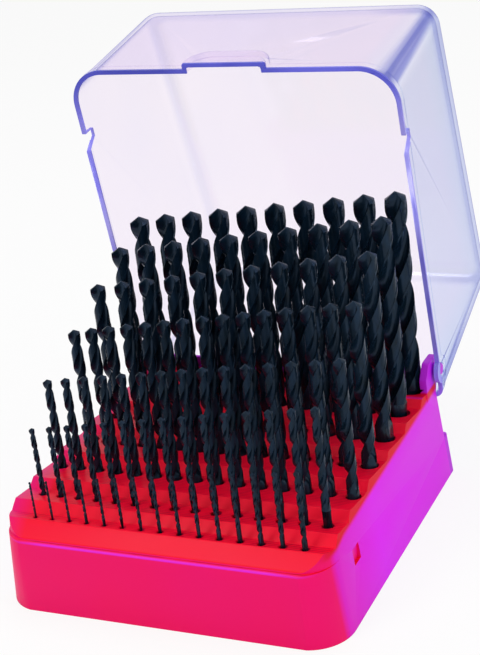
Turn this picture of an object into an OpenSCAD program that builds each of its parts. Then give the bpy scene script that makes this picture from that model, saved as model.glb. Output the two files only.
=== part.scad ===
// Drill bit case: a stepped base that holds 91 twist drills upright in blind sockets,
// and a clear lid that swings over them on two hinge stubs. Millimetres, +Z up, +Y to
// the back. The origin is the middle of the base's underside. The lid is drawn open.

/* [Base] */
// Width of the base at the table
case_w = 158; // [155:1:190]
// Depth of the base at the table, front to back
case_d = 157; // [155:1:190]
// Height of the front shoulder that the lid's rim meets
shoulder_z = 33.5; // [30:0.5:35]
// Radius of the base's upright front corners
corner_r = 18; // [12:1:20]
// How far the base's upper body stands in from its foot
body_inset = 3.3; // [3:0.1:4]
// Thickness of the base's walls
base_wall = 2.2; // [1.6:0.1:2.6]
// Height of the ledge behind the upper body
ledge_z = 19; // [12:0.5:24]
// How far the ledge runs back
ledge_run = 6.5; // [4:0.5:9]
// Top of the back wall above the last tread
back_wall_rise = 7; // [4:0.5:9]
// Thickness of the back wall
back_wall_t = 2.2; // [1.6:0.1:2.4]

/* [Sockets] */
// Distance from the front face to the first row of drills
first_row_y = 12.2; // [11:0.1:14]
// Distance from the last row of drills to the base's back edge
last_row_back = 14.4; // [14:0.1:16]
// Height of the first tread at its drills
first_tread_z = 39.5; // [38:0.5:44]
// Fall of each tread towards the back, as rise over run
tread_fall = 0.12; // [0.02:0.01:0.16]
// Run of the slope between one tread and the next
riser_run = 4; // [3:0.5:5]
// How much wider than its drill each socket is
socket_clearance = 1; // [0.4:0.1:1.1]
// Thickness of the wall round each socket
socket_wall = 1.5; // [1.3:0.1:1.8]
// Floor under each drill
socket_floor = 1.5; // [1:0.1:2]

/* [Lid] */
// Thickness of the lid's clear walls
lid_wall = 2; // [1.6:0.1:2.2]
// Gap between the base's upper body and the lid's sides
lid_gap = 0.5; // [0.4:0.1:0.8]
// Gap between the closed rim and the shoulder
rim_gap = 0.3; // [0.2:0.1:0.6]
// Least gap between the tallest drill's point and the closed lid
point_gap = 3.5; // [2.5:0.5:8]
// Height of the lid's front over the hinge axis, square to the rim
lid_front_h = 76; // [70:1:90]
// How far each lid side leans in over its height
lid_draft = 2.4; // [1:0.1:2.6]
// How far the lid's back stands behind the hinge axis
lid_tail = 14; // [12:0.5:18]
// Angle from shut to open
lid_swing = 87; // [70:1:88]

/* [Hinge] */
// Height of the hinge axis over the table
hinge_z = 54; // [52:0.5:58]
// Distance from the base's back edge to the hinge axis
hinge_back = 5; // [4:0.5:6]
// Distance from the rim plane to the hinge axis
rim_drop = 3; // [2:0.5:4]
// Diameter of the hinge stubs
hinge_d = 6; // [5:0.5:7]
// Running clearance of the stubs, on the radius
hinge_clearance = 0.08; // [0.04:0.01:0.1]
// Radius of the lid's ears and of the base's cheeks round the axis
ear_r = 6.5; // [6:0.1:7]

/* [Drills] */
// Point angle of the drills
point_angle = 118; // [90:1:135]

/* [Hidden] */
$fn = 48;
eps = 0.01;

// Rows from the front: first drill of each in tenths of a millimetre, how many there are,
// steps between rows (shared out over the depth) and treads, how far the first and last
// drills stand from the sides, and how far every row stands to the right of the middle.
row_first = [10, 25, 40, 55, 70, 81, 91];
row_count = [15, 15, 15, 15, 11, 10, 10];
row_step = [0, 14.8, 22.4, 25.1, 24, 22.8, 21.3];
tread_step = [0, 2.6, 1.3, 1, 0.4, 0.9, 1];
side_margin = [16.9, 12.6, 9.7, 11.4, 12.7, 13.8, 14.4];
row_shift = 1.5;
// Length of drill that stands out of the tread, at each row's first and last drill
shown_first = [16.9, 32, 43, 54.9, 66.8, 75.3, 81.7];
shown_last = [35, 53.4, 62.9, 75.8, 87.9, 94.1, 96.9];
rows = [for (r = [0 : len(row_first) - 1]) r];

// Jobber drill lengths: [largest diameter in tenths, overall length]
jobber = [[10, 34], [11, 36], [13, 38], [15, 40], [17, 43], [19, 46], [21, 49], [23, 53],
    [26, 57], [30, 61], [33, 65], [37, 70], [42, 75], [47, 80], [53, 86], [60, 93],
    [67, 101], [75, 109], [85, 117], [95, 125], [106, 133]];

function sum_to(list, n) = n < 0 ? 0 : list[n] + sum_to(list, n - 1);
row_spread = (case_d - last_row_back - first_row_y) / sum_to(row_step, len(row_step) - 1);
function row_y(r) = first_row_y + row_spread * sum_to(row_step, r);
function tread_z(r) = first_tread_z + sum_to(tread_step, r);
function row_of(tenths) = len([for (f = row_first) if (f <= tenths) f]) - 1;
function overall(tenths) = [for (j = jobber) if (j[0] >= tenths) j[1]][0];

// Drills in a row stand at even gaps, so their pitch grows with their diameter
function row_reach(r) = case_w / 2 - side_margin[r];
function span(r, i) = (i * row_first[r] + i * i / 2) / 10;
function row_gap(r) = (2 * row_reach(r) - span(r, row_count[r] - 1)) / (row_count[r] - 1);
function drill_x(r, i) = row_shift - row_reach(r) + i * row_gap(r) + span(r, i);
function shown(r, i) = shown_first[r]
    + (shown_last[r] - shown_first[r]) * i / (row_count[r] - 1);
function tip_z(r, i) = tread_z(r) + shown(r, i);
function seat_z(tenths) = tip_z(row_of(tenths), tenths - row_first[row_of(tenths)])
    - overall(tenths);

// Treads: each starts at a lip and falls back past its sockets to the next riser
function socket_r(tenths) = (tenths / 10 + socket_clearance) / 2;
function row_socket_r(r) = socket_r(row_first[r] + row_count[r] - 1);
function tread_back(r) = row_y(r) + row_socket_r(r) + 2;
function tread_front(r) = r == 0 ? row_y(0) - row_socket_r(0) - 1 : tread_back(r - 1) + riser_run;
function tread_at(r, y) = tread_z(r) - tread_fall * (y - row_y(r));
last_row = len(row_first) - 1;
body_back = case_d - ledge_run;
back_wall_top = tread_z(last_row) + back_wall_rise;

// Hinge axis, and the rim plane at its distance from the axis
hinge_y = case_d - hinge_back;
front_lean = 1.2;
lid_front_y = front_lean - 0.4;
rim_rise = hinge_z - shoulder_z - rim_gap;
rim_run = hinge_y - lid_front_y;
rim_tilt = atan(rim_rise / rim_run) - asin(rim_drop / norm([rim_rise, rim_run]));
lid_reach = sqrt(rim_rise * rim_rise + rim_run * rim_run - rim_drop * rim_drop);
// A point of the base, as distance behind the axis and height over it in the closed lid
function in_lid(y, z) = [(y - hinge_y) * cos(rim_tilt) + (z - hinge_z) * sin(rim_tilt),
    (z - hinge_z) * cos(rim_tilt) - (y - hinge_y) * sin(rim_tilt)];
tallest = in_lid(row_y(last_row), tip_z(last_row, row_count[last_row] - 1));
lid_back_h = tallest[1] + point_gap + lid_wall;

body_half = case_w / 2 - body_inset;
foot_back_r = 4;
body_back_r = 3;
lid_half = body_half + lid_gap + lid_wall;
lid_front_r = corner_r - 0.8;
lid_back_r = 5;
lid_top_r = 11;
tail_lean = 3;
nose_lean = 1.6;

// Groups of drills: small ones in fives, the three back rows one by one
groups = concat([for (t = [10 : 5 : 65]) [t, t + 4]], [for (t = [70 : 100]) [t, t]]);
function size_name(t) = str(floor(t / 10), "_", t % 10);
function group_name(g) = g[0] == g[1] ? str("drill_", size_name(g[0]))
    : str("drills_", size_name(g[0]), "_to_", size_name(g[1]));

// Runs a shape drawn in (y, z) across the width, centred
module across(width) {
    translate([-width / 2, 0, 0]) rotate([90, 0, 90]) linear_extrude(width) children();
}

// Rounded rectangle from y0 to y1, with front corners of radius r
module plan(half, y0, y1, r, back_r) {
    hull() for (s = [-1, 1]) {
        translate([s * (half - r), y0 + r]) circle(r);
        translate([s * (half - back_r), y1 - back_r]) circle(back_r);
    }
}

// Side view of the base, drawn in by t on every side but the open underside
module side_view(t) {
    drop = 1.2 * t;
    foot = t > 0 ? -1 : 0;
    polygon(concat(
        [[t, foot], [front_lean + t, shoulder_z - drop], [body_inset + t, shoulder_z - drop]],
        [for (r = rows) for (y = [tread_front(r), r == last_row ? body_back - back_wall_t
            : tread_back(r)]) [min(y + t / 2, body_back - back_wall_t), tread_at(r, y) - drop]],
        t > 0 ? [[body_back - t, tread_at(last_row, body_back) - drop]]
            : [[body_back - back_wall_t, back_wall_top], [body_back, back_wall_top]],
        [[body_back - t, ledge_z - t], [case_d - t, ledge_z - t], [case_d - t, foot]]));
}

// Outer form of the base at t = 0, and its hollow underside at t = wall
module base_form(t) {
    top_z = back_wall_top + 1;
    lean = body_inset / shoulder_z;
    intersection() {
        union() {
            translate([0, 0, -1]) linear_extrude(shoulder_z + 1 - 1.2 * t)
                plan(case_w / 2 - t, t, case_d - t, corner_r - t, foot_back_r - t);
            translate([0, 0, -1]) linear_extrude(top_z + 1)
                plan(body_half - t, body_inset + t, case_d - t, corner_r - body_inset - t,
                    body_back_r - t);
        }
        across(case_w) side_view(t);
        rotate([90, 0, 0]) translate([0, 0, -case_d]) linear_extrude(case_d)
            polygon([[t - case_w / 2 - lean, -1], [case_w / 2 + lean - t, -1],
                [case_w / 2 - t - lean * top_z, top_z], [t - case_w / 2 + lean * top_z, top_z]]);
    }
}

// One upright cylinder per drill of every row, from z_low(tenths) up past the treads
module at_sockets(wider, lower) {
    for (r = rows) for (i = [0 : row_count[r] - 1]) {
        t = row_first[r] + i;
        translate([drill_x(r, i), row_y(r), seat_z(t) - lower])
            cylinder(h = hinge_z + 2 * ear_r, r = socket_r(t) + wider);
    }
}

// Cheek that carries one hinge stub
module cheek() {
    cheek_front = hinge_y - 14;
    cheek_foot = tread_at(last_row, cheek_front) - 4;
    stub_end = lid_half - 0.4;
    cheek_in = body_half - 4;
    cheek_out = body_half - 0.8;
    translate([cheek_in, 0, 0]) rotate([90, 0, 90]) linear_extrude(cheek_out - cheek_in) {
        polygon([[cheek_front, cheek_foot], [body_back, cheek_foot], [hinge_y, hinge_z - ear_r],
            [hinge_y, hinge_z + ear_r], [cheek_front + 5, hinge_z + ear_r - 1.5],
            [cheek_front, hinge_z]]);
        translate([hinge_y, hinge_z]) circle(ear_r);
    }
    translate([cheek_in + 1, hinge_y, hinge_z]) rotate([0, 90, 0])
        cylinder(h = stub_end - cheek_in - 1, d = hinge_d);
}

// Shallow thumb recess low on one side
module side_recess() {
    depth = 1.2;
    translate([case_w / 2 - body_inset * 27 / shoulder_z - depth, 29.5, 23]) cube([6, 7, 7]);
}

module base() {
    color("#E3173C") translate([0, -case_d / 2, 0]) difference() {
        union() {
            difference() {
                base_form(0);
                difference() {
                    base_form(base_wall);
                    at_sockets(socket_wall, socket_floor);
                }
            }
            cheek();
            mirror([1, 0, 0]) cheek();
        }
        at_sockets(0, 0);
        side_recess();
        mirror([1, 0, 0]) side_recess();
    }
}

// Lid form in its own frame: axis at the origin, +Y to the back, +Z away from the rim.
// It is drawn in by t, and reaches below the rim when it is the hollow.
module lid_form(t) {
    low = t > 0 ? 2 : 0;
    rim_front = -lid_reach + t;
    rim_back = lid_tail - t;
    top_half = lid_half - lid_draft;
    hull() for (s = [-1, 1]) {
        translate([s * (lid_half - lid_front_r), rim_front + lid_front_r - t, -rim_drop - low])
            cylinder(h = low + eps, r = lid_front_r - t, $fn = 32);
        translate([s * (lid_half - lid_back_r), rim_back - lid_back_r + t, -rim_drop - low])
            cylinder(h = low + eps, r = lid_back_r - t, $fn = 32);
        translate([s * (top_half - lid_top_r), -lid_reach + nose_lean + lid_top_r,
            lid_front_h - lid_top_r]) sphere(lid_top_r - t, $fn = 32);
        translate([s * (top_half - lid_top_r), lid_tail - tail_lean - lid_top_r,
            lid_back_h - lid_top_r]) sphere(lid_top_r - t, $fn = 32);
    }
}

// Notches in the rim near the front corners
module rim_notches() {
    notch_y = -lid_reach + 31.5;
    across(case_w + 20) polygon([[notch_y, -rim_drop - 1], [notch_y, 4], [notch_y + 4, 4],
        [notch_y + 9, -rim_drop], [notch_y + 9, -rim_drop - 1]]);
}

// Finger bulge in the front of the rim, drawn in by t
module finger_bulge(t) {
    half = 20;
    high = 14;
    out = 2.7;
    r = 11;
    behind = 3.5;
    low = t > 0 ? 2 : 0;
    translate([0, behind - lid_reach, -rim_drop]) rotate([90, 0, 0])
        linear_extrude(behind + out - t) intersection() {
            hull() for (s = [-1, 1]) translate([s * (half - r), high - r]) circle(r - t);
            translate([-half, -low]) square([2 * half, high + low]);
        }
}

module lid() {
    color("#C9CBEF", 0.35) translate([0, hinge_y - case_d / 2, hinge_z])
        rotate([rim_tilt - lid_swing, 0, 0]) difference() {
            union() {
                difference() {
                    union() {
                        lid_form(0);
                        finger_bulge(0);
                    }
                    lid_form(lid_wall);
                    finger_bulge(lid_wall);
                    rim_notches();
                }
                for (s = [-1, 1]) translate([s * (lid_half - lid_wall / 2), 0, 0])
                    rotate([0, 90, 0]) cylinder(h = lid_wall, r = ear_r, center = true);
            }
            rotate([0, 90, 0])
                cylinder(h = case_w + 20, r = hinge_d / 2 + hinge_clearance, center = true);
        }
}

// One drill, standing on its seat
module drill(tenths) {
    r = row_of(tenths);
    radius = tenths / 20;
    point_h = radius / tan(point_angle / 2);
    body_h = overall(tenths) - point_h;
    translate([drill_x(r, tenths - row_first[r]), row_y(r) - case_d / 2, seat_z(tenths)]) {
        cylinder(h = body_h, r = radius);
        translate([0, 0, body_h]) cylinder(h = point_h, r1 = radius, r2 = radius / 20);
    }
}

module drill_group(g) {
    color("#1B2024") for (t = [g[0] : g[1]]) drill(t);
}

base();
lid();
for (g = groups) drill_group(g);
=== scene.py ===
import bmesh
import bpy
import math
from mathutils import Matrix, Vector


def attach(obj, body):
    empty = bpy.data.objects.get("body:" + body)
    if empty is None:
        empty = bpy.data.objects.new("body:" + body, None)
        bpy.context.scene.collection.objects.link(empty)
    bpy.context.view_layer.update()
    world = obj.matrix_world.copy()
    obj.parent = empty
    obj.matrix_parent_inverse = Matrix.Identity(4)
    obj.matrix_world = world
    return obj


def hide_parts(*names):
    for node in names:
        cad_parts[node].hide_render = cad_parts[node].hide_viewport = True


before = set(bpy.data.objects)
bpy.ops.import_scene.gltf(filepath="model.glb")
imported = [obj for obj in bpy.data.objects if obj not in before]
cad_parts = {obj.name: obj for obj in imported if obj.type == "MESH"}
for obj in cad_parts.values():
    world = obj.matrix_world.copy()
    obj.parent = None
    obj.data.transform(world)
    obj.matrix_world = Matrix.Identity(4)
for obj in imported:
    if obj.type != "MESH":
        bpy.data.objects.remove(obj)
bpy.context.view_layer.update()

# Drill bit case, drawn in millimetres from the front face of the base (y 0) and the table
# (z 0), then moved back by half the depth and scaled to metres.

mm = 0.001


def linear(hexColour):
    channels = [int(hexColour[i:i + 2], 16) / 255 for i in (1, 3, 5)]
    curve = [c / 12.92 if c <= 0.04045 else ((c + 0.055) / 1.055) ** 2.4 for c in channels]
    return tuple(curve) + (1.0,)


def addNode(tree, kind, inputs=None, **settings):
    node = tree.nodes.new(kind)
    for name, value in settings.items():
        setattr(node, name, value)
    for socket, value in (inputs or {}).items():
        if isinstance(value, bpy.types.NodeSocket):
            tree.links.new(value, node.inputs[socket])
        else:
            node.inputs[socket].default_value = value
    return node


def newMaterial(name):
    material = bpy.data.materials.new(name)
    material.use_nodes = True
    material.node_tree.nodes.clear()
    return material, material.node_tree


def finishMaterial(tree, shader):
    output = addNode(tree, "ShaderNodeOutputMaterial")
    tree.links.new(shader.outputs[0], output.inputs["Surface"])


def meshObject(name, bm):
    bmesh.ops.recalc_face_normals(bm, faces=bm.faces)
    mesh = bpy.data.meshes.new(name)
    bm.to_mesh(mesh)
    bm.free()
    piece = bpy.data.objects.new(name, mesh)
    bpy.context.scene.collection.objects.link(piece)
    return piece


def bake(piece):
    graph = bpy.context.evaluated_depsgraph_get()
    mesh = bpy.data.meshes.new_from_object(piece.evaluated_get(graph))
    piece.modifiers.clear()
    piece.data = mesh
    return piece


def boolean(piece, tool, operation, overlapping=False):
    step = piece.modifiers.new(operation, "BOOLEAN")
    step.operation = operation
    step.solver = "EXACT"
    step.use_self = overlapping
    step.object = tool
    bake(piece)
    bpy.data.objects.remove(tool)
    return piece


def bevelEdges(piece, width, segments, angle):
    step = piece.modifiers.new("soft edges", "BEVEL")
    step.width = width
    step.segments = segments
    step.limit_method = "ANGLE"
    step.angle_limit = math.radians(angle)
    step.miter_outer = "MITER_ARC"
    return bake(piece)


def smooth(piece, angle):
    piece.data.shade_smooth()
    piece.data.set_sharp_from_angle(angle=math.radians(angle))


# Outline of straight runs whose corners, given as (u, v, radius), are rounded by arcs
def roundedOutline(corners, segments=5):
    points = []
    for i, (u, v, radius) in enumerate(corners):
        here = Vector((u, v))
        before = Vector(corners[i - 1][:2]) - here
        after = Vector(corners[(i + 1) % len(corners)][:2]) - here
        if radius == 0:
            points.append(here)
            continue
        half = before.angle(after) / 2
        reach = min(radius / math.tan(half), before.length * 0.48, after.length * 0.48)
        radius = reach * math.tan(half)
        start = here + before.normalized() * reach
        end = here + after.normalized() * reach
        centre = here + (before.normalized() + after.normalized()).normalized() * radius / math.sin(half)
        for k in range(segments + 1):
            t = k / segments
            spoke = (start - centre).lerp(end - centre, t).normalized() * radius
            points.append(centre + spoke)
    return points


# Solid from an outline in (y, z), run from x0 to x1
def acrossSolid(name, outline, x0, x1):
    bm = bmesh.new()
    left = [bm.verts.new((x0, p[0], p[1])) for p in outline]
    right = [bm.verts.new((x1, p[0], p[1])) for p in outline]
    bm.faces.new(left)
    bm.faces.new(reversed(right))
    for i in range(len(outline)):
        j = (i + 1) % len(outline)
        bm.faces.new((left[i], right[i], right[j], left[j]))
    return meshObject(name, bm)


def joinLoops(bm, loops):
    for low, high in zip(loops, loops[1:]):
        for i in range(len(low)):
            j = (i + 1) % len(low)
            bm.faces.new((low[i], low[j], high[j], high[i]))


# Solid through rings of points, closed at both ends
def ringSolid(bm, rings):
    loops = [[bm.verts.new(p) for p in ring] for ring in rings]
    bm.faces.new(reversed(loops[0]))
    bm.faces.new(loops[-1])
    joinLoops(bm, loops)


# Round solid that lies across the case, from its (x, radius) profile
def axleSolid(name, profile, y, z, count):
    bm = bmesh.new()
    turns = [2 * math.pi * i / count for i in range(count)]
    ringSolid(bm, [[(x, y + radius * math.cos(t), z + radius * math.sin(t)) for t in turns]
                   for x, radius in profile])
    return meshObject(name, bm)


def circlePoints(x, y, z, radius, count):
    turns = [2 * math.pi * i / count for i in range(count)]
    return [(x + radius * math.cos(t), y + radius * math.sin(t), z) for t in turns]


drillSet = {
    # first size in tenths of a millimetre, count, distance back, tread height, margin at
    # the sides, and the length shown over the tread at the first and last drill
    "rows": [
        (10, 15, 12.2, 39.5, 16.9, 16.9, 35.0),
        (25, 15, 27.0, 42.1, 12.6, 32.0, 53.4),
        (40, 15, 49.4, 43.4, 9.7, 43.0, 62.9),
        (55, 15, 74.5, 44.4, 11.4, 54.9, 75.8),
        (70, 11, 98.5, 44.8, 12.7, 66.8, 87.9),
        (81, 10, 121.3, 45.7, 13.8, 75.3, 94.1),
        (91, 10, 142.6, 46.7, 14.4, 81.7, 96.9)],
    # jobber drills: largest size in tenths, overall length, flute length
    "lengths": [
        (10, 34, 12), (11, 36, 14), (13, 38, 16), (15, 40, 18), (17, 43, 20), (19, 46, 22),
        (21, 49, 24), (23, 53, 27), (26, 57, 30), (30, 61, 33), (33, 65, 36), (37, 70, 39),
        (42, 75, 43), (47, 80, 47), (53, 86, 52), (60, 93, 57), (67, 101, 63), (75, 109, 69),
        (85, 117, 75), (95, 125, 81), (106, 133, 87)],
    "helixAngle": 30,
    "pointAngle": 118,
    "reliefAngle": 12,
    "webShare": 0.17,      # half the web, as a share of the radius
    "landShare": 0.955,    # radius of the land behind the margin
    "degreesPerRing": 14,
    "rowShift": 1.5,       # every row stands to the right of the middle
    "socketClearance": 1.0,
    "socketFloor": 1.5,
    "socketWall": 1.5,
}

caseBase = {
    "width": 158.0,
    "depth": 157.0,
    "cornerRadius": 18.0,
    "backRadii": (4.0, 3.0),  # upright back corners of the foot and of the upper body
    "shoulderHeight": 33.5,
    "inset": 3.3,
    "frontLean": 1.2,
    "wall": 2.2,
    "treadFall": 0.12,
    "riserRun": 4.0,
    "backWall": (148.3, 150.5),
    "backWallTop": 53.7,
    "ledgeHeight": 19.0,
    "edgeRound": 0.7,
    "recess": (29.5, 36.5, 23.0, 30.0),  # in each side: front, back, bottom and top
    "recessDepth": 1.2,
}

hinge = {
    "y": 152.0,
    "z": 54.0,
    "stubRadius": 3.0,
    "holeRadius": 3.08,
    "earRadius": 6.5,
    "cheek": (71.7, 74.9),    # its inner and outer face
    "cheekRun": 14.0,         # how far it reaches in front of the axis
    "stubEnd": 77.8,
    "stubChamfer": 0.5,
}


def drillPlaces():
    places = []
    for first, count, y, treadZ, margin, shownFirst, shownLast in drillSet["rows"]:
        reach = caseBase["width"] / 2 - margin
        span = [(i * first + i * i / 2) / 10 for i in range(count)]
        gap = (2 * reach - span[-1]) / (count - 1)
        for i in range(count):
            size = first + i
            overall, flute = next(j[1:] for j in drillSet["lengths"] if j[0] >= size)
            shown = shownFirst + (shownLast - shownFirst) * i / (count - 1)
            tip = treadZ + shown
            places.append({"size": size, "x": drillSet["rowShift"] - reach + i * gap + span[i], "y": y,
                           "seat": tip - overall, "tip": tip, "flute": flute,
                           "tread": treadZ, "socket": (size / 10 + drillSet["socketClearance"]) / 2})
    return places


places = drillPlaces()


def treadAt(row, y):
    return row[3] - caseBase["treadFall"] * (y - row[2])


def socketRadius(row):
    return ((row[0] + row[1] - 1) / 10 + drillSet["socketClearance"]) / 2


# Base: high-impact polystyrene, injection moulded, red all through. The mould's fine grain gives a satin
# gloss. The rose on its ends and the violet on its sides are painted reflection, set by which way each face
# turns.
def mouldedStyrene():
    material, tree = newMaterial("moulded red polystyrene")
    place = addNode(tree, "ShaderNodeTexCoord")
    normal = addNode(tree, "ShaderNodeNewGeometry")
    facing = addNode(tree, "ShaderNodeSeparateXYZ", {0: normal.outputs["Normal"]})
    sideways = addNode(tree, "ShaderNodeMath", {0: facing.outputs["X"]}, operation="ABSOLUTE")
    lengthways = addNode(tree, "ShaderNodeMath", {0: facing.outputs["Y"]}, operation="ABSOLUTE")
    # painted violet reflection: faces turned sideways, below the treads' edge and off the sockets and
    # recesses, take a violet sheen
    turned = addNode(tree, "ShaderNodeMapRange", {"Value": sideways.outputs[0],
        "From Min": 0.5, "From Max": 1.0}, interpolation_type="SMOOTHSTEP")
    level = addNode(tree, "ShaderNodeSeparateXYZ", {0: place.outputs["Object"]})
    outward = addNode(tree, "ShaderNodeMath", {0: level.outputs["X"]}, operation="ABSOLUTE")
    unleaned = addNode(tree, "ShaderNodeMath", {0: level.outputs["Z"],
        1: caseBase["inset"] / caseBase["shoulderHeight"], 2: outward.outputs[0]}, operation="MULTIPLY_ADD")
    onSide = addNode(tree, "ShaderNodeMapRange", {"Value": unleaned.outputs[0],
        "From Min": 77.4 * mm, "From Max": 78.6 * mm})   # sockets and side recesses stay red
    lowLine = addNode(tree, "ShaderNodeMath", {0: level.outputs["Y"], 1: 0.19,
        2: 52.4 * mm}, operation="MULTIPLY_ADD")         # line of the treads, steep at the front
    highLine = addNode(tree, "ShaderNodeMath", {0: level.outputs["Y"], 1: 0.038,
        2: 44.3 * mm}, operation="MULTIPLY_ADD")         # and flat behind
    treadLine = addNode(tree, "ShaderNodeMath", {0: lowLine.outputs[0],
        1: highLine.outputs[0]}, operation="MINIMUM")
    under = addNode(tree, "ShaderNodeMath", {0: treadLine.outputs[0],
        1: level.outputs["Z"]}, operation="SUBTRACT")
    belowEdge = addNode(tree, "ShaderNodeMapRange", {"Value": under.outputs[0],
        "From Min": 1.2 * mm, "From Max": 4.2 * mm}, interpolation_type="SMOOTHSTEP")
    walled = addNode(tree, "ShaderNodeMath", {0: turned.outputs[0],
        1: belowEdge.outputs[0]}, operation="MULTIPLY")
    sideSheenShare = addNode(tree, "ShaderNodeMath", {0: walled.outputs[0],
        1: onSide.outputs[0]}, operation="MULTIPLY")
    # painted rose light: faces turned to the front or back, and slanting corner faces, take a rose tone
    endShare = addNode(tree, "ShaderNodeMapRange", {"Value": lengthways.outputs[0],
        "From Min": 0.72, "From Max": 0.95}, interpolation_type="SMOOTHSTEP")
    cornerShare = addNode(tree, "ShaderNodeMapRange", {"Value": facing.outputs["Z"],
        "From Min": 0.62, "From Max": 0.3}, interpolation_type="SMOOTHSTEP")
    upright = addNode(tree, "ShaderNodeMath", {0: endShare.outputs[0],
        1: cornerShare.outputs[0]}, operation="MAXIMUM")
    flow = addNode(tree, "ShaderNodeTexNoise", {"Vector": place.outputs["Object"],
        "Scale": 1 / (60 * mm), "Detail": 2.0})          # cloudy flow of the melt, 60 mm
    topColour = addNode(tree, "ShaderNodeMix", {"Factor": flow.outputs["Fac"],
        "A": linear("#F00430"), "B": linear("#F8072F")}, data_type="RGBA")
    ribs = addNode(tree, "ShaderNodeTexWave", {"Vector": place.outputs["Object"],
        "Scale": 0.314 / (1.5 * mm), "Distortion": 0.6, "Detail": 1.0},
        bands_direction="Y")                             # fine ribs along the treads, every 1.5 mm
    worn = addNode(tree, "ShaderNodeTexNoise", {"Vector": place.outputs["Object"],
        "Scale": 1 / (9 * mm), "Detail": 1.0})
    patchy = addNode(tree, "ShaderNodeMapRange", {"Value": worn.outputs["Fac"],
        "From Min": 0.3, "From Max": 0.65, "To Max": 0.75})
    flatTop = addNode(tree, "ShaderNodeMapRange", {"Value": facing.outputs["Z"],
        "From Min": 0.97, "From Max": 0.99})
    onTreads = addNode(tree, "ShaderNodeMath", {0: patchy.outputs[0],
        1: flatTop.outputs[0]}, operation="MULTIPLY")
    ribShare = addNode(tree, "ShaderNodeMath", {0: ribs.outputs["Fac"],
        1: onTreads.outputs[0]}, operation="MULTIPLY")
    ribbed = addNode(tree, "ShaderNodeMix", {"Factor": ribShare.outputs[0],
        "A": topColour.outputs[2], "B": linear("#B8062C")}, data_type="RGBA")
    # painted rose light of the ends
    paintedEndSheen = addNode(tree, "ShaderNodeMix", {"Factor": flow.outputs["Fac"],
        "A": linear("#F4065A"), "B": linear("#EE0672")}, data_type="RGBA")
    # painted violet sheen of the side walls, more magenta towards the front
    paintedSideSheen = addNode(tree, "ShaderNodeMix", {"Factor": flow.outputs["Fac"],
        "A": linear("#E010E2"), "B": linear("#E216FA")}, data_type="RGBA")
    foreShare = addNode(tree, "ShaderNodeMapRange", {"Value": level.outputs["Y"],
        "From Min": -20 * mm, "From Max": -76 * mm})
    warmerSideSheen = addNode(tree, "ShaderNodeMix", {"Factor": foreShare.outputs[0],
        "A": paintedSideSheen.outputs[2], "B": linear("#DE0AB4")}, data_type="RGBA")
    # painted rose sheen along the left edge of the top
    leftSheenShare = addNode(tree, "ShaderNodeMapRange", {"Value": level.outputs["X"],
        "From Min": -63 * mm, "From Max": -77 * mm, "To Max": 0.75})
    atLeft = addNode(tree, "ShaderNodeMix", {"Factor": leftSheenShare.outputs[0],
        "A": ribbed.outputs[2], "B": linear("#E0108C")}, data_type="RGBA")
    withEnds = addNode(tree, "ShaderNodeMix", {"Factor": upright.outputs[0],
        "A": atLeft.outputs[2], "B": paintedEndSheen.outputs[2]}, data_type="RGBA")
    lipShare = addNode(tree, "ShaderNodeMath", {0: turned.outputs[0],
        1: walled.outputs[0]}, operation="SUBTRACT")     # the side walls' top edge takes a darker red in place of the painted violet
    withLip = addNode(tree, "ShaderNodeMix", {"Factor": lipShare.outputs[0],
        "A": withEnds.outputs[2], "B": linear("#DC0020")}, data_type="RGBA")
    withSides = addNode(tree, "ShaderNodeMix", {"Factor": sideSheenShare.outputs[0],
        "A": withLip.outputs[2], "B": warmerSideSheen.outputs[2]}, data_type="RGBA")
    over = addNode(tree, "ShaderNodeMath", {0: level.outputs["Z"],
        1: caseBase["shoulderHeight"] * mm - 0.5 * mm}, operation="SUBTRACT")
    away = addNode(tree, "ShaderNodeMath", {0: over.outputs[0]}, operation="ABSOLUTE")
    glint = addNode(tree, "ShaderNodeMapRange", {"Value": away.outputs[0],
        "From Min": 0.8 * mm, "From Max": 0.2 * mm})     # painted highlight, a bright line on the shoulder's edge
    fade = addNode(tree, "ShaderNodeMapRange", {"Value": outward.outputs[0],
        "From Min": 72 * mm, "From Max": 52 * mm})
    faded = addNode(tree, "ShaderNodeMath", {0: glint.outputs[0],
        1: fade.outputs[0]}, operation="MULTIPLY")
    frontOnly = addNode(tree, "ShaderNodeMath", {0: faded.outputs[0],
        1: lengthways.outputs[0]}, operation="MULTIPLY")
    withGlint = addNode(tree, "ShaderNodeMix", {"Factor": frontOnly.outputs[0],
        "A": withSides.outputs[2], "B": linear("#E628DE")}, data_type="RGBA")
    # painted violet sheen, as on the sides, on the back wall and cheeks over the treads and on the ledge
    backShare = addNode(tree, "ShaderNodeMapRange", {"Value": level.outputs["Z"],
        "From Min": 47.6 * mm, "From Max": 48.6 * mm})   # back wall and cheeks, over the treads
    behind = addNode(tree, "ShaderNodeMapRange", {"Value": level.outputs["Y"],
        "From Min": 71.6 * mm, "From Max": 72.0 * mm})   # and the ledge
    backSheenShare = addNode(tree, "ShaderNodeMath", {0: backShare.outputs[0],
        1: behind.outputs[0]}, operation="MAXIMUM")
    withBack = addNode(tree, "ShaderNodeMix", {"Factor": backSheenShare.outputs[0],
        "A": withGlint.outputs[2], "B": linear("#C424E2")}, data_type="RGBA")
    grain = addNode(tree, "ShaderNodeTexNoise", {"Vector": place.outputs["Object"],
        "Scale": 1 / (0.8 * mm), "Detail": 3.0})         # spark-eroded grain, drawn at 0.8 mm
    gloss = addNode(tree, "ShaderNodeMapRange", {"Value": flow.outputs["Fac"],
        "To Min": 0.3, "To Max": 0.42})
    bump = addNode(tree, "ShaderNodeBump", {"Height": grain.outputs["Fac"],
        "Strength": 0.05, "Distance": 0.05 * mm})
    shader = addNode(tree, "ShaderNodeBsdfPrincipled", {
        "Base Color": withBack.outputs[2], "Roughness": gloss.outputs[0],
        "Normal": bump.outputs[0], "Specular IOR Level": 0.12})
    finishMaterial(tree, shader)
    return material


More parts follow.
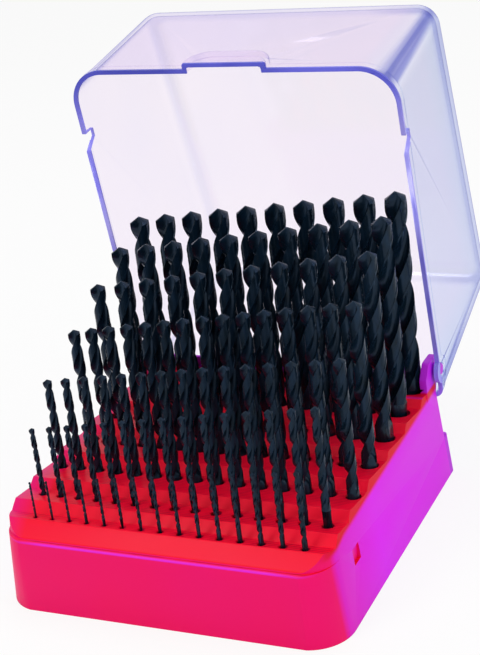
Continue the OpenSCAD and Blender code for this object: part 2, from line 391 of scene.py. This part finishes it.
# Lid: crystal polystyrene, injection moulded in a polished mould. It is glass-clear, with a
# faint lavender cast that turns blue where a wall is seen at a slant, and a hard gloss.
def clearStyrene():
    material, tree = newMaterial("clear polystyrene")
    place = addNode(tree, "ShaderNodeTexCoord")
    flow = addNode(tree, "ShaderNodeTexNoise", {"Vector": place.outputs["Object"],
        "Scale": 1 / (45 * mm), "Detail": 1.0})          # slow waves in the wall, 45 mm
    bump = addNode(tree, "ShaderNodeBump", {"Height": flow.outputs["Fac"],
        "Strength": 0.3, "Distance": 0.6 * mm})
    slant = addNode(tree, "ShaderNodeLayerWeight", {"Blend": 0.5})
    depth = addNode(tree, "ShaderNodeMath", {0: slant.outputs["Facing"], 1: 9.0}, operation="POWER")
    clear = addNode(tree, "ShaderNodeMix", {"Factor": flow.outputs["Fac"],
        "A": linear("#FBF8FE"), "B": linear("#FEFAFE")}, data_type="RGBA")
    spot = addNode(tree, "ShaderNodeSeparateXYZ", {0: place.outputs["Object"]})
    rightSheenShare = addNode(tree, "ShaderNodeMapRange", {"Value": spot.outputs["X"],
        "From Min": 60 * mm, "From Max": 76 * mm})       # painted cool reflection on the right wall
    cast = addNode(tree, "ShaderNodeMix", {"Factor": rightSheenShare.outputs[0],
        "A": clear.outputs[2], "B": linear("#F5F9FE")}, data_type="RGBA")
    tint = addNode(tree, "ShaderNodeMix", {"Factor": depth.outputs[0],
        "A": cast.outputs[2], "B": linear("#3F52CC")}, data_type="RGBA")
    wallNormal = addNode(tree, "ShaderNodeSeparateXYZ", {0: place.outputs["Normal"]})
    sizes = [addNode(tree, "ShaderNodeMath", {0: wallNormal.outputs[axis]}, operation="ABSOLUTE")
             for axis in "XYZ"]
    largest = addNode(tree, "ShaderNodeMath", {0: sizes[0].outputs[0],
        1: sizes[1].outputs[0]}, operation="MAXIMUM")
    flatness = addNode(tree, "ShaderNodeMath", {0: largest.outputs[0],
        1: sizes[2].outputs[0]}, operation="MAXIMUM")
    bend = addNode(tree, "ShaderNodeMapRange", {"Value": flatness.outputs[0],
        "From Min": 0.93, "From Max": 0.75, "To Max": 0.3})   # painted blue reflection on the rounded corners
    # the painted blue is stronger towards the right and the front
    nearRight = addNode(tree, "ShaderNodeMapRange", {"Value": spot.outputs["X"],
        "From Min": 40 * mm, "From Max": 74 * mm, "To Min": 0.4, "To Max": 2.0})
    nearFront = addNode(tree, "ShaderNodeMapRange", {"Value": spot.outputs["Y"],
        "From Min": 140 * mm, "From Max": 105 * mm, "To Min": 0.4, "To Max": 1.0})
    sideBend = addNode(tree, "ShaderNodeMath", {0: bend.outputs[0],
        1: nearRight.outputs[0]}, operation="MULTIPLY")
    bendSheenShare = addNode(tree, "ShaderNodeMath", {0: sideBend.outputs[0],
        1: nearFront.outputs[0]}, operation="MULTIPLY")
    withBendSheen = addNode(tree, "ShaderNodeMix", {"Factor": bendSheenShare.outputs[0],
        "A": tint.outputs[2], "B": linear("#5B6CD6")}, data_type="RGBA")
    through = addNode(tree, "ShaderNodeBsdfTransparent", {"Color": withBendSheen.outputs[2]})
    steep = addNode(tree, "ShaderNodeMath", {0: slant.outputs["Facing"], 1: 5.0}, operation="POWER")
    share = addNode(tree, "ShaderNodeMapRange", {"Value": steep.outputs[0],
        "To Min": 0.03, "To Max": 0.35})
    gloss = addNode(tree, "ShaderNodeBsdfGlossy", {"Color": linear("#F4F2FF"),
        "Roughness": 0.12, "Normal": bump.outputs[0]})
    mix = addNode(tree, "ShaderNodeMixShader", {0: share.outputs[0], 1: through.outputs[0],
        2: gloss.outputs[0]})
    finishMaterial(tree, mix)
    return material


# Rim: the same clear plastic seen through its thickness. Light piped along the walls comes
# out at the cut edge, which looks deep blue at the top and lavender further down.
def pipedEdge():
    material, tree = newMaterial("clear polystyrene edge")
    place = addNode(tree, "ShaderNodeTexCoord")
    streak = addNode(tree, "ShaderNodeTexNoise", {"Vector": place.outputs["Object"],
        "Scale": 1 / (30 * mm), "Detail": 1.0})          # bright and dark stretches, 30 mm
    span = addNode(tree, "ShaderNodeMapRange", {"Value": streak.outputs["Fac"],
        "From Min": 0.35, "From Max": 0.7})
    spot = addNode(tree, "ShaderNodeSeparateXYZ", {0: place.outputs["Object"]})
    topShare = addNode(tree, "ShaderNodeMapRange", {"Value": spot.outputs["Z"],
        "From Min": 172 * mm, "From Max": 200 * mm}, interpolation_type="SMOOTHSTEP")
    deep = addNode(tree, "ShaderNodeMix", {"Factor": span.outputs[0],
        "A": linear("#2A30B4"), "B": linear("#5C5CE0")}, data_type="RGBA")
    pale = addNode(tree, "ShaderNodeMix", {"Factor": span.outputs[0],
        "A": linear("#7E78F0"), "B": linear("#AEA8F8")}, data_type="RGBA")
    colour = addNode(tree, "ShaderNodeMix", {"Factor": topShare.outputs[0],
        "A": pale.outputs[2], "B": deep.outputs[2]}, data_type="RGBA")
    shader = addNode(tree, "ShaderNodeBsdfPrincipled", {
        "Base Color": colour.outputs[2], "Roughness": 0.18, "IOR": 1.59})
    finishMaterial(tree, shader)
    return material


# Drills: high-speed steel, flutes ground, then black oxide. The skin is blue-black and
# satin, with a dull shine along the ground flutes.
def blackOxide():
    material, tree = newMaterial("black oxide steel")
    place = addNode(tree, "ShaderNodeTexCoord")
    squash = addNode(tree, "ShaderNodeMapping", {"Vector": place.outputs["Object"],
        "Scale": (1.0, 1.0, 0.35)})
    patch = addNode(tree, "ShaderNodeTexNoise", {"Vector": squash.outputs[0],
        "Scale": 1 / (3 * mm), "Detail": 3.0})           # uneven oxide, patches of 3 mm
    colour = addNode(tree, "ShaderNodeMix", {"Factor": patch.outputs["Fac"],
        "A": linear("#08110F"), "B": linear("#16304A")}, data_type="RGBA")
    gloss = addNode(tree, "ShaderNodeMapRange", {"Value": patch.outputs["Fac"],
        "To Min": 0.17, "To Max": 0.3})
    grind = addNode(tree, "ShaderNodeTexNoise", {"Vector": place.outputs["Object"],
        "Scale": 1 / (0.25 * mm), "Detail": 2.0})        # grinding marks, drawn at 0.25 mm
    bump = addNode(tree, "ShaderNodeBump", {"Height": grind.outputs["Fac"],
        "Strength": 0.12, "Distance": 0.02 * mm})
    shader = addNode(tree, "ShaderNodeBsdfPrincipled", {
        "Base Color": colour.outputs[2], "Metallic": 0.5, "Roughness": gloss.outputs[0],
        "Normal": bump.outputs[0], "Specular IOR Level": 0.3})
    finishMaterial(tree, shader)
    return material


baseMaterial = mouldedStyrene()
lidMaterial = clearStyrene()
edgeMaterial = pipedEdge()
steelMaterial = blackOxide()


# Moves a piece from the drawing's frame to the row's, in metres
def toRow(piece):
    shift = Matrix.Translation((0, -caseBase["depth"] / 2, 0))
    piece.data.transform(Matrix.Scale(mm, 4) @ shift)
    return piece


# Side view of the base, drawn in by t for the hollow underneath
def baseOutline(t):
    c = caseBase
    edge = c["edgeRound"] if t == 0 else 0.3
    drop = 1.2 * t
    foot = 0 if t == 0 else -1
    rows = drillSet["rows"]
    shoulder = c["shoulderHeight"] - drop - 0.01
    corners = [(t, foot, 0), (c["frontLean"] + t, shoulder, 1.6 * edge), (c["inset"] + t, shoulder, 2.5)]
    front = rows[0][2] - socketRadius(rows[0]) - 1
    wallFront, wallBack = c["backWall"]
    for i, row in enumerate(rows):
        last = i == len(rows) - 1
        back = wallFront if last else row[2] + socketRadius(row) + 2
        corners.append((front + t / 2, treadAt(row, front) - drop, edge))
        corners.append((min(back + t / 2, wallFront), treadAt(row, back) - drop, 0.5))
        front = back + c["riserRun"]
    if t == 0:
        corners += [(wallFront, c["backWallTop"], edge), (wallBack, c["backWallTop"], edge)]
    else:
        corners.append((wallBack - t, treadAt(rows[-1], wallBack) - drop, 0.3))
    corners += [(wallBack - t, c["ledgeHeight"] - t, 0.6), (c["depth"] - t, c["ledgeHeight"] - t, edge),
                (c["depth"] - t, foot, 0)]
    return roundedOutline(corners)


# Leaning block with rounded upright corners, which the side view is cut from. It stands out
# a little at the front and back, so that no face of one lies in a face of the other.
def basePlan(name, t):
    c = caseBase
    lean = c["inset"] / c["shoulderHeight"]
    half = c["width"] / 2
    radius = c["cornerRadius"]
    foot, body = c["backRadii"]
    top = 66.0
    shoulder = c["shoulderHeight"] - 1.2 * t
    # height, half width, front, and the radius of the back corners
    levels = [(-2.0, half + 2 * lean, 0.0, foot), (0.0, half, 0.0, foot),
              (shoulder, half - c["inset"], c["frontLean"], foot),
              (shoulder, half - c["inset"], c["inset"], body),
              (top, half - lean * top, lean * top, body)]
    segments = 14
    rings = []
    for z, halfHere, front, backRadius in levels:
        back = (halfHere - backRadius, c["depth"] - backRadius + 0.4, backRadius - t, backRadius - t)
        near = (half - radius, radius, halfHere - half + radius - t, radius - front - t + 0.3)
        ring = []
        for corner in range(4):
            side = (1, -1, -1, 1)[corner]
            x, y, reachX, reachY = back if corner < 2 else near
            for k in range(segments + 1):
                turn = math.pi / 2 * (corner + k / segments)
                ring.append((side * x + reachX * math.cos(turn), y + reachY * math.sin(turn), z))
        rings.append(ring)
    bm = bmesh.new()
    ringSolid(bm, rings)
    return meshObject(name, bm)


def baseForm(name, t):
    half = caseBase["width"] / 2 + 5
    solid = acrossSolid(name, baseOutline(t), -half, half)
    return boolean(solid, basePlan("plan", t), "INTERSECT")


def cheekSolid(side):
    y, z, radius = hinge["y"], hinge["z"], hinge["earRadius"]
    lastRow = drillSet["rows"][-1]
    front = y - hinge["cheekRun"]
    foot = treadAt(lastRow, front) - 4
    outline = roundedOutline([(front, foot, 0), (caseBase["backWall"][1], foot, 0),
                              (y, z - radius, 0), (y + radius, z - radius, radius),
                              (y + radius, z + radius, radius), (front + 5, z + radius, 3.0),
                              (front, z, 2.0)], segments=10)
    low, high = [side * x for x in hinge["cheek"]]
    return acrossSolid("cheek", outline, min(low, high), max(low, high))


def stubSolid(side):
    radius, end, chamfer = hinge["stubRadius"], hinge["stubEnd"], hinge["stubChamfer"]
    profile = [(side * (hinge["cheek"][0] + 1), radius), (side * (end - chamfer), radius),
               (side * end, radius - chamfer)]
    return axleSolid("stub", profile, hinge["y"], hinge["z"], 48)


def boxSolid(name, low, high):
    bm = bmesh.new()
    xs, ys, zs = zip(low, high)
    rings = [[(xs[0], ys[0], z), (xs[1], ys[0], z), (xs[1], ys[1], z), (xs[0], ys[1], z)] for z in zs]
    ringSolid(bm, rings)
    return meshObject(name, bm)


def socketCutters():
    bm = bmesh.new()
    for p in places:
        r = p["socket"]
        flare = 0.35
        profile = [(p["seat"], r), (p["tread"] - flare, r), (p["tread"] + 3, r + flare + 3)]
        ringSolid(bm, [circlePoints(p["x"], p["y"], z, radius, 32) for z, radius in profile])
    return meshObject("sockets", bm)


def tubeSolids():
    bm = bmesh.new()
    for p in places:
        r = p["socket"] + drillSet["socketWall"]
        low = p["seat"] - drillSet["socketFloor"]
        ringSolid(bm, [circlePoints(p["x"], p["y"], z, r, 32) for z in (low, p["tread"] + 20)])
    return meshObject("tubes", bm)


def makeBase():
    c = caseBase
    base = baseForm("case_base", 0)
    front, back, bottom, top = c["recess"]
    lean = c["inset"] * 27 / c["shoulderHeight"]     # of the side wall, near the recess's middle
    recessX = c["width"] / 2 - lean - c["recessDepth"]
    for side in (-1, 1):
        boolean(base, cheekSolid(side), "UNION")
        ends = sorted((side * recessX, side * (recessX + 6)))
        boolean(base, boxSolid("recess", (ends[0], front, bottom), (ends[1], back, top)), "DIFFERENCE")
    bevelEdges(base, caseBase["edgeRound"], 3, 40)
    for side in (-1, 1):
        boolean(base, stubSolid(side), "UNION")
    hollow = baseForm("hollow", caseBase["wall"])
    boolean(hollow, tubeSolids(), "DIFFERENCE", overlapping=True)
    boolean(base, hollow, "DIFFERENCE")
    boolean(base, socketCutters(), "DIFFERENCE")
    smooth(base, 32)
    base.data.materials.clear()
    base.data.materials.append(baseMaterial)
    for face in base.data.polygons:
        face.material_index = 0
    toRow(base)
    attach(base, "case_base")
    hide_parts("base")
    return base


base = makeBase()
print("base made:", len(base.data.polygons), "faces")


# Half of a twist drill's section, as shares of the radius: the straight lip, the flute's
# floor and back wall, the land behind the margin, and the margin up to the next lip
def drillSection(fine):
    web, land = drillSet["webShare"], drillSet["landShare"]
    corner = math.degrees(math.asin(web))
    lipShares = (1, 0.74, 0.48, 0.22) if fine else (1, 0.55, 0.2)
    lip = [(math.sqrt(1 - web * web) * s, web) for s in lipShares]
    flute = [(-0.04, web + 0.03), (-0.21, 0.33), (-0.31, 0.53), (-0.33, 0.74)] if fine else \
        [(-0.12, web + 0.06), (-0.31, 0.5)]
    heel, margin = corner + 98, corner + 168
    turns = [heel + (margin - heel) * k / (4 if fine else 2) for k in range(5 if fine else 3)]
    landPoints = [(land * math.cos(math.radians(a)), land * math.sin(math.radians(a))) for a in turns]
    marginTurns = [margin + 1, corner + 175] if fine else [margin + 1]
    marginPoints = [(math.cos(math.radians(a)), math.sin(math.radians(a))) for a in marginTurns]
    half = lip + flute + landPoints + marginPoints
    return half + [(-x, -y) for x, y in half]


# Shank, run-out, helical flutes and relieved point; turn is how the lips stand at the tip
def addDrill(bm, p, turn):
    radius = p["size"] / 20
    fine = p["size"] >= 30
    section = drillSection(fine)
    pitch = 2 * math.pi * radius / math.tan(math.radians(drillSet["helixAngle"]))
    slope = 1 / math.tan(math.radians(drillSet["pointAngle"] / 2))
    relief = math.tan(math.radians(drillSet["reliefAngle"]))
    web = drillSet["webShare"] * radius
    tip = p["tip"]

    def pointZ(x, y):
        behind = web - y * max(-1, min(1, x / web))
        return tip - slope * math.hypot(x, y) - relief * behind

    cornerZ = tip - slope * radius
    runOut = tip - p["flute"]
    fade = 1.6 * radius
    step = pitch * drillSet["degreesPerRing"] / 360 * (1 if fine else 1.5)
    count = max(4, math.ceil((cornerZ - runOut) / step))
    heights = [p["seat"], p["seat"] + 0.4 * radius, runOut - fade, runOut - fade / 2]
    heights += [runOut + (cornerZ - runOut) * k / count for k in range(count + 1)]
    heights = [h for k, h in enumerate(heights) if k == 0 or h > heights[0] + 0.1]
    loops = []
    for z in heights:
        depth = max(0.0, min(1.0, (z - runOut + fade) / fade))
        depth = depth * depth * (3 - 2 * depth)
        chamfer = 0.88 if z == p["seat"] else 1.0
        loop = []
        for sx, sy in section:
            length = math.hypot(sx, sy)
            shankX, shankY = sx / length, sy / length
            x = (shankX + (sx - shankX) * depth) * radius * chamfer
            y = (shankY + (sy - shankY) * depth) * radius * chamfer
            level = min(z, pointZ(x, y)) if z > cornerZ - radius else z
            angle = turn + 2 * math.pi * (level - tip) / pitch
            loop.append((x, y, level, angle))
        loops.append(loop)
    top = loops[-1]
    topTurn = turn + 2 * math.pi * (cornerZ - tip) / pitch
    for share in (0.72, 0.42, 0.18):
        cap = []
        for x, y, _, _ in top:
            cap.append((x * share, y * share, pointZ(x * share, y * share), topTurn))
        loops.append(cap)
    rings = []
    for loop in loops:
        ring = []
        for x, y, z, angle in loop:
            c, s = math.cos(angle), math.sin(angle)
            ring.append(bm.verts.new((p["x"] + c * x - s * y, p["y"] + s * x + c * y, z)))
        rings.append(ring)
    bm.faces.new(reversed(rings[0]))
    joinLoops(bm, rings)
    apex = bm.verts.new((p["x"], p["y"], pointZ(0, 0)))
    for i in range(len(rings[-1])):
        bm.faces.new((rings[-1][i], rings[-1][(i + 1) % len(rings[-1])], apex))


def sizeName(size):
    return "%d_%d" % (size // 10, size % 10)


def makeDrills():
    groups = [(t, t + 4) for t in range(10, 70, 5)] + [(t, t) for t in range(70, 101)]
    for first, last in groups:
        single = first == last
        node = "drill_" + sizeName(first) if single else \
            "drills_%s_to_%s" % (sizeName(first), sizeName(last))
        bm = bmesh.new()
        for p in places:
            if first <= p["size"] <= last:
                addDrill(bm, p, math.radians(54 + p["size"] * 37 % 17))
        piece = meshObject("twist_" + node, bm)
        smooth(piece, 38)
        piece.data.materials.append(steelMaterial)
        toRow(piece)
        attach(piece, "case_base")
        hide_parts(node)


makeDrills()
print("drills made:", len(places))


caseLid = {
    "wall": 2.0,
    "half": 78.2,
    "reach": 0.0,         # worked out below from the rim plane
    "rimDrop": 3.0,
    "frontRadius": 17.2,
    "backRadius": 5.0,
    "topRadius": 11.0,
    "frontHeight": 76.0,
    "tail": 14.0,
    "draft": 2.4,
    "noseLean": 1.6,
    "tailLean": 3.0,
    "pointGap": 3.5,
    "swing": 87.0,
    "rimGap": 0.3,
    "bandHeight": 5.0,    # thicker band along the rim
    "bandStep": 0.35,
    "notchFromFront": 31.5,
    "notchTop": 4.0,
    "notchRuns": (4.0, 9.0),    # behind its front: where it slopes down, and where it ends
    "edgeDepth": 1.1,     # how far up the walls the rim's blue shows
    "bulgeHalf": 20.0,    # finger bulge in the front of the rim
    "bulgeHeight": 14.0,
    "bulgeOut": 2.7,
    "bulgeRadius": 11.0,
}

frontY = caseBase["frontLean"] - 0.4
rimRise = hinge["z"] - caseBase["shoulderHeight"] - caseLid["rimGap"]
rimRun = hinge["y"] - frontY
rimTilt = math.atan2(rimRise, rimRun) - math.asin(caseLid["rimDrop"] / math.hypot(rimRise, rimRun))
caseLid["reach"] = math.sqrt(rimRise ** 2 + rimRun ** 2 - caseLid["rimDrop"] ** 2)
tallest = places[-1]
caseLid["backHeight"] = (tallest["tip"] - hinge["z"]) * math.cos(rimTilt) \
    - (tallest["y"] - hinge["y"]) * math.sin(rimTilt) + caseLid["pointGap"] + caseLid["wall"]


# Convex form of the lid in its own frame (axis at the origin, z away from the rim), drawn
# in by t, and reaching past the rim by low
def lidForm(name, t, low):
    c = caseLid
    points = []
    corners = [(c["half"] - c["frontRadius"], -c["reach"] + c["frontRadius"], c["frontRadius"]),
               (c["half"] - c["backRadius"], c["tail"] - c["backRadius"], c["backRadius"])]
    for side in (-1, 1):
        for x, y, radius in corners:
            for z in (-c["rimDrop"] - low, -c["rimDrop"]):
                points += circlePoints(side * x, y, z, radius - t, 64)
        topX = c["half"] - c["draft"] - c["topRadius"]
        balls = [(-c["reach"] + c["noseLean"] + c["topRadius"], c["frontHeight"] - c["topRadius"]),
                 (c["tail"] - c["tailLean"] - c["topRadius"], c["backHeight"] - c["topRadius"])]
        for y, z in balls:
            r = c["topRadius"] - t
            for i in range(0, 13):
                lat = math.pi / 2 * i / 12
                ringRadius = max(r * math.cos(lat), 0.01)
                points += circlePoints(side * topX, y, z + r * math.sin(lat), ringRadius, 64)
    bm = bmesh.new()
    for p in points:
        bm.verts.new(p)
    result = bmesh.ops.convex_hull(bm, input=bm.verts)
    loose = [v for v in bm.verts if not v.link_faces]
    bmesh.ops.delete(bm, geom=loose, context="VERTS")
    bmesh.ops.remove_doubles(bm, verts=bm.verts, dist=0.005)
    bmesh.ops.dissolve_limit(bm, angle_limit=0.004, verts=bm.verts, edges=bm.edges)
    return meshObject(name, bm)


# Finger bulge drawn in by t, reaching past the rim by low, with its outer edge eased
def bulgeSolid(name, t, low):
    c = caseLid
    radius, rim = c["bulgeRadius"], -c["rimDrop"]
    centreZ = rim + c["bulgeHeight"] - radius
    outer = -c["reach"] - c["bulgeOut"] + t
    rings = []
    for y, inward in ((-c["reach"] + 3.5, 0.0), (outer + 1.0, 0.0), (outer + 0.3, 0.3), (outer, 1.0)):
        r = radius - t - inward
        lowest = rim - low
        start = math.asin((lowest - centreZ) / r)
        ring = []
        for side in (1, -1):
            for k in range(17):
                turn = start + (math.pi / 2 - start) * (k / 16 if side > 0 else 1 - k / 16)
                x = c["bulgeHalf"] - radius + r * math.cos(turn)
                ring.append((side * x, y, centreZ + r * math.sin(turn)))
        rings.append(ring)
    bm = bmesh.new()
    ringSolid(bm, rings)
    return meshObject(name, bm)


def makeLid():
    c = caseLid
    rim = -c["rimDrop"]
    past = 90              # past the lid's sides
    lid = lidForm("case_lid", c["bandStep"], 0)
    band = lidForm("band", 0, 0)
    slab = boxSolid("slab", (-100, -200, rim - 1), (100, 50, rim + c["bandHeight"]))
    boolean(band, slab, "INTERSECT")
    boolean(lid, band, "UNION")
    boolean(lid, bulgeSolid("bulge", 0, 0), "UNION")
    boolean(lid, lidForm("hollow", c["wall"], 3), "DIFFERENCE")
    boolean(lid, bulgeSolid("scoop", c["wall"] - 0.2, 2), "DIFFERENCE")
    notchY = -c["reach"] + c["notchFromFront"]
    slope, end = [notchY + run for run in c["notchRuns"]]
    notch = [(notchY, rim - 1), (notchY, c["notchTop"]), (slope, c["notchTop"]), (end, rim), (end, rim - 1)]
    boolean(lid, acrossSolid("notches", notch, -past, past), "DIFFERENCE")
    for side in (-1, 1):
        ends = sorted((side * (c["half"] - c["wall"]), side * c["half"]))
        ear = axleSolid("ear", [(x, hinge["earRadius"]) for x in ends], 0, 0, 64)
        boolean(lid, ear, "UNION")
    bore = axleSolid("bore", [(x, hinge["holeRadius"]) for x in (-past, past)], 0, 0, 48)
    boolean(lid, bore, "DIFFERENCE")
    bevelEdges(lid, 0.25, 2, 50)
    bm = bmesh.new()
    bm.from_mesh(lid.data)
    level = rim + c["edgeDepth"]
    bmesh.ops.bisect_plane(bm, geom=bm.verts[:] + bm.edges[:] + bm.faces[:], dist=1e-5,
                           plane_co=(0, 0, level), plane_no=(0, 0, 1))
    bm.to_mesh(lid.data)
    bm.free()
    lid.data.materials.clear()
    lid.data.materials.append(lidMaterial)
    lid.data.materials.append(edgeMaterial)
    for face in lid.data.polygons:
        low = face.center.z < level
        inNotch = notchY - 0.5 < face.center.y < end + 0.5 and face.center.z < c["notchTop"] + 0.5 \
            and abs(face.normal.x) < 0.3
        face.material_index = 1 if low or inNotch else 0
    smooth(lid, 32)
    flat = lid.modifiers.new("flat walls", "WEIGHTED_NORMAL")
    flat.weight = 80
    flat.keep_sharp = True
    bake(lid)
    opened = Matrix.Rotation(rimTilt - math.radians(c["swing"]), 4, "X")
    lid.data.transform(Matrix.Translation((0, hinge["y"], hinge["z"])) @ opened)
    toRow(lid)
    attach(lid, "case_lid")
    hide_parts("lid")
    return lid


lid = makeLid()
print("lid made:", len(lid.data.polygons), "faces")


view = {
    "position": (0.2946, -0.5595, 0.3639),
    "azimuth": 0.463,
    "elevation": 0.394,
    "roll": -0.131,
    "focalPixels": 1589.0,     # for a frame 655 pixels high
    "shift": (-0.0019, -0.0021),
}


def makeCamera():
    a, e, roll = view["azimuth"], view["elevation"], view["roll"]
    back = Vector((math.sin(a) * math.cos(e), -math.cos(a) * math.cos(e), math.sin(e)))
    right = Vector((math.cos(a), math.sin(a), 0))
    up = back.cross(right)
    c, s = math.cos(roll), math.sin(roll)
    turned = Matrix((c * right + s * up, -s * right + c * up, back)).transposed()
    data = bpy.data.cameras.new("camera")
    data.sensor_fit = "VERTICAL"
    data.sensor_height = 36
    data.lens = 36 * view["focalPixels"] / 655
    data.shift_x, data.shift_y = view["shift"]
    data.clip_start = 0.05
    camera = bpy.data.objects.new("camera", data)
    camera.matrix_world = Matrix.Translation(view["position"]) @ turned.to_4x4()
    bpy.context.scene.collection.objects.link(camera)
    bpy.context.scene.camera = camera


# place and size in metres, power in watts
lamps = {
    "key": ((-0.5, -0.9, 1.0), 0.5, 5),
    "side": ((1.0, -0.2, 0.5), 0.35, 2.5),
    "top": ((0.0, 0.3, 1.2), 0.5, 3),
}


def makeLamp(name, place, size, power):
    aim = (0, 0, 0.05)
    data = bpy.data.lights.new(name, "AREA")
    data.size = size
    data.energy = power
    lamp = bpy.data.objects.new(name, data)
    lamp.location = place
    lamp.rotation_euler = (Vector(aim) - Vector(place)).to_track_quat("-Z", "Y").to_euler()
    bpy.context.scene.collection.objects.link(lamp)


# White surround for the camera, for gloss and through the clear lid, and softer light
def makeWorld():
    world = bpy.data.worlds.new("studio")
    bpy.context.scene.world = world
    world.use_nodes = True
    tree = world.node_tree
    tree.nodes.clear()
    rays = addNode(tree, "ShaderNodeLightPath")
    looks = addNode(tree, "ShaderNodeMath", {0: rays.outputs["Is Camera Ray"],
        1: rays.outputs["Is Transmission Ray"]}, operation="MAXIMUM")
    seen = addNode(tree, "ShaderNodeMath", {0: looks.outputs[0],
        1: rays.outputs["Is Glossy Ray"]}, operation="MAXIMUM")
    strength = addNode(tree, "ShaderNodeMapRange", {"Value": seen.outputs[0],
        "To Min": 0.6, "To Max": 1.0})
    glow = addNode(tree, "ShaderNodeBackground", {"Color": linear("#FFFFFF"),
        "Strength": strength.outputs[0]})
    output = addNode(tree, "ShaderNodeOutputWorld")
    tree.links.new(glow.outputs[0], output.inputs["Surface"])


def makeFloor():
    bm = bmesh.new()
    half = 3.0
    corners = [(-half, -half, 0), (half, -half, 0), (half, half, 0), (-half, half, 0)]
    bm.faces.new([bm.verts.new(p) for p in corners])
    floor = meshObject("floor", bm)
    floor.location.z = -0.2 * mm
    material, tree = newMaterial("white paper sweep")
    rays = addNode(tree, "ShaderNodeLightPath")
    seen = addNode(tree, "ShaderNodeMath", {0: rays.outputs["Is Camera Ray"],
        1: rays.outputs["Is Transmission Ray"]}, operation="MAXIMUM")
    share = addNode(tree, "ShaderNodeMath", {0: seen.outputs[0], 1: 0.86}, operation="MULTIPLY")
    paper = addNode(tree, "ShaderNodeBsdfDiffuse", {"Color": linear("#F4F4F4")})
    glow = addNode(tree, "ShaderNodeEmission", {"Color": linear("#FFFFFF"), "Strength": 1.0})
    mix = addNode(tree, "ShaderNodeMixShader", {0: share.outputs[0], 1: paper.outputs[0], 2: glow.outputs[0]})
    finishMaterial(tree, mix)
    floor.data.materials.append(material)


makeCamera()
makeWorld()
makeFloor()
for name, (place, size, power) in lamps.items():
    makeLamp(name, place, size, power)
bpy.context.scene.view_settings.view_transform = "Standard"

bpy.context.view_layer.update()
